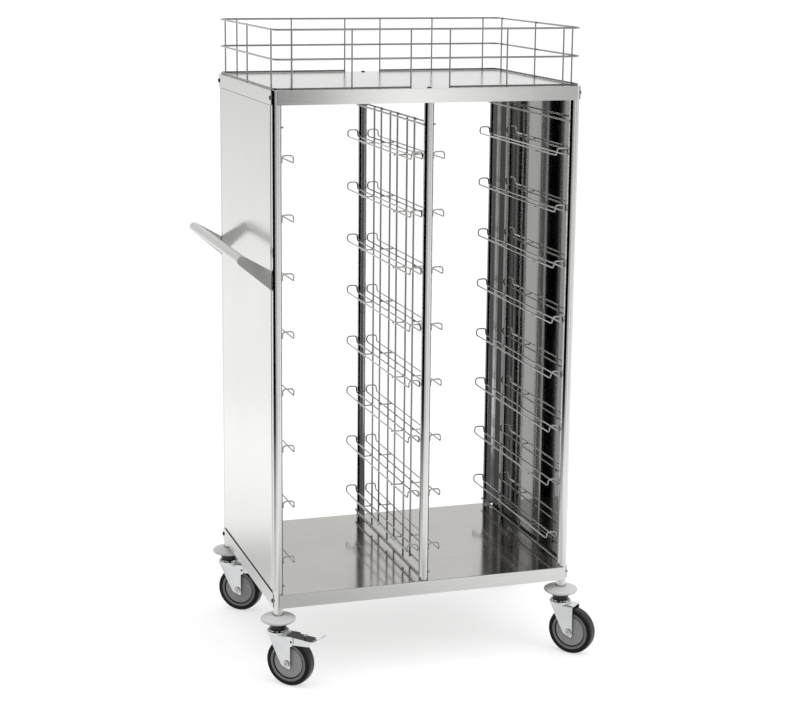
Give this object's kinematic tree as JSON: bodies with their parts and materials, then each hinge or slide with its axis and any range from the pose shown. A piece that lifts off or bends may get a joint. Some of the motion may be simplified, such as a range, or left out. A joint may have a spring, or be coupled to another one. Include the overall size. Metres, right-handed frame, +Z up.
{
  "type": "tray trolley",
  "caption": "Tall two-bay stainless tray trolley with wire tray supports, a wire gallery on top, a push handle and swivel casters.",
  "frame": {"origin": "middle of the bottom of the bounding box, on the floor the wheels stand on", "axes": "+Z up, +X to the trolley's right, front towards -Y"},
  "size_m": [0.9544, 0.705, 1.6429],
  "materials": {
    "satin_sheet": "satin stainless sheet",
    "post_tube": "polished stainless tube",
    "bright_wire": "bright stainless wire",
    "handle_steel": "satin stainless tube and plate",
    "dark_screw": "blackened screw heads",
    "bumper_plastic": "light grey moulded plastic",
    "zinc": "zinc-plated steel",
    "dark_stem": "dark oiled steel",
    "pedal_steel": "dark plated pedal",
    "hub_plastic": "mid grey moulded plastic",
    "tyre_rubber": "dark grey rubber"
  },
  "bodies": {
    "frame": {"top_deck": "satin_sheet", "bottom_deck": "satin_sheet", "corner_post_front_left": "post_tube", "corner_post_front_right": "post_tube", "corner_post_rear_left": "post_tube", "corner_post_rear_right": "post_tube", "centre_post_front": "post_tube", "centre_post_rear": "post_tube", "side_panel_left": "satin_sheet", "side_panel_right": "satin_sheet", "grid_left": "bright_wire", "tray_supports_left": "bright_wire", "grid_centre_left": "bright_wire", "tray_supports_centre_left": "bright_wire", "grid_centre_right": "bright_wire", "tray_supports_centre_right": "bright_wire", "grid_right": "bright_wire", "tray_supports_right": "bright_wire", "gallery_top_rail": "bright_wire", "gallery_middle_rail": "bright_wire", "gallery_lower_wires": "bright_wire", "gallery_uprights": "bright_wire", "handle_tube": "handle_steel", "handle_bracket_front": "handle_steel", "handle_bracket_rear": "handle_steel", "deck_screws": "dark_screw", "centre_screws": "dark_screw", "bumper_discs": "bumper_plastic", "caster_stems": "dark_stem"},
    "caster_front_left": {"fork_front_left": "zinc", "axle_bolt_front_left": "zinc", "pedal_pins_front_left": "zinc"},
    "wheel_front_left": {"hub_front_left": "hub_plastic", "tyre_front_left": "tyre_rubber"},
    "caster_front_right": {"fork_front_right": "zinc", "axle_bolt_front_right": "zinc"},
    "wheel_front_right": {"hub_front_right": "hub_plastic", "tyre_front_right": "tyre_rubber"},
    "caster_rear_left": {"fork_rear_left": "zinc", "axle_bolt_rear_left": "zinc", "pedal_pins_rear_left": "zinc"},
    "wheel_rear_left": {"hub_rear_left": "hub_plastic", "tyre_rear_left": "tyre_rubber"},
    "caster_rear_right": {"fork_rear_right": "zinc", "axle_bolt_rear_right": "zinc"},
    "wheel_rear_right": {"hub_rear_right": "hub_plastic", "tyre_rear_right": "tyre_rubber"},
    "pedal_front_left": {"brake_pedal_front_left": "pedal_steel", "brake_tongue_front_left": "zinc"},
    "pedal_rear_left": {"brake_pedal_rear_left": "pedal_steel", "brake_tongue_rear_left": "zinc"}
  },
  "joints": [
    {"name": "swivel_front_left", "type": "hinge", "parent": "frame", "child": "caster_front_left", "pos_m": [-0.3777, -0.25216, 0.14], "axis": [0, 0, 1], "continuous": true},
    {"name": "roll_front_left", "type": "hinge", "parent": "caster_front_left", "child": "wheel_front_left", "pos_m": [-0.35181, -0.27716, 0.0625], "axis": [0.6947, 0.7193, 0], "continuous": true},
    {"name": "swivel_front_right", "type": "hinge", "parent": "frame", "child": "caster_front_right", "pos_m": [0.3933, -0.25216, 0.14], "axis": [0, 0, 1], "continuous": true},
    {"name": "roll_front_right", "type": "hinge", "parent": "caster_front_right", "child": "wheel_front_right", "pos_m": [0.41715, -0.27912, 0.0625], "axis": [0.749, 0.6626, 0], "continuous": true},
    {"name": "swivel_rear_left", "type": "hinge", "parent": "frame", "child": "caster_rear_left", "pos_m": [-0.3777, 0.30784, 0.14], "axis": [0, 0, 1], "continuous": true},
    {"name": "roll_rear_left", "type": "hinge", "parent": "caster_rear_left", "child": "wheel_rear_left", "pos_m": [-0.34934, 0.28568, 0.0625], "axis": [0.6157, 0.788, 0], "continuous": true},
    {"name": "swivel_rear_right", "type": "hinge", "parent": "frame", "child": "caster_rear_right", "pos_m": [0.3933, 0.30784, 0.14], "axis": [0, 0, 1], "continuous": true},
    {"name": "roll_rear_right", "type": "hinge", "parent": "caster_rear_right", "child": "wheel_rear_right", "pos_m": [0.42005, 0.28375, 0.0625], "axis": [0.6691, 0.7431, 0], "continuous": true},
    {"name": "brake_front_left", "type": "hinge", "parent": "caster_front_left", "child": "pedal_front_left", "pos_m": [-0.34246, -0.28619, 0.1216], "axis": [0.6947, 0.7193, 0], "range_deg": [0, 12]},
    {"name": "brake_rear_left", "type": "hinge", "parent": "caster_rear_left", "child": "pedal_rear_left", "pos_m": [-0.33909, 0.27768, 0.1216], "axis": [0.6157, 0.788, 0], "range_deg": [0, 12]}
  ]
}
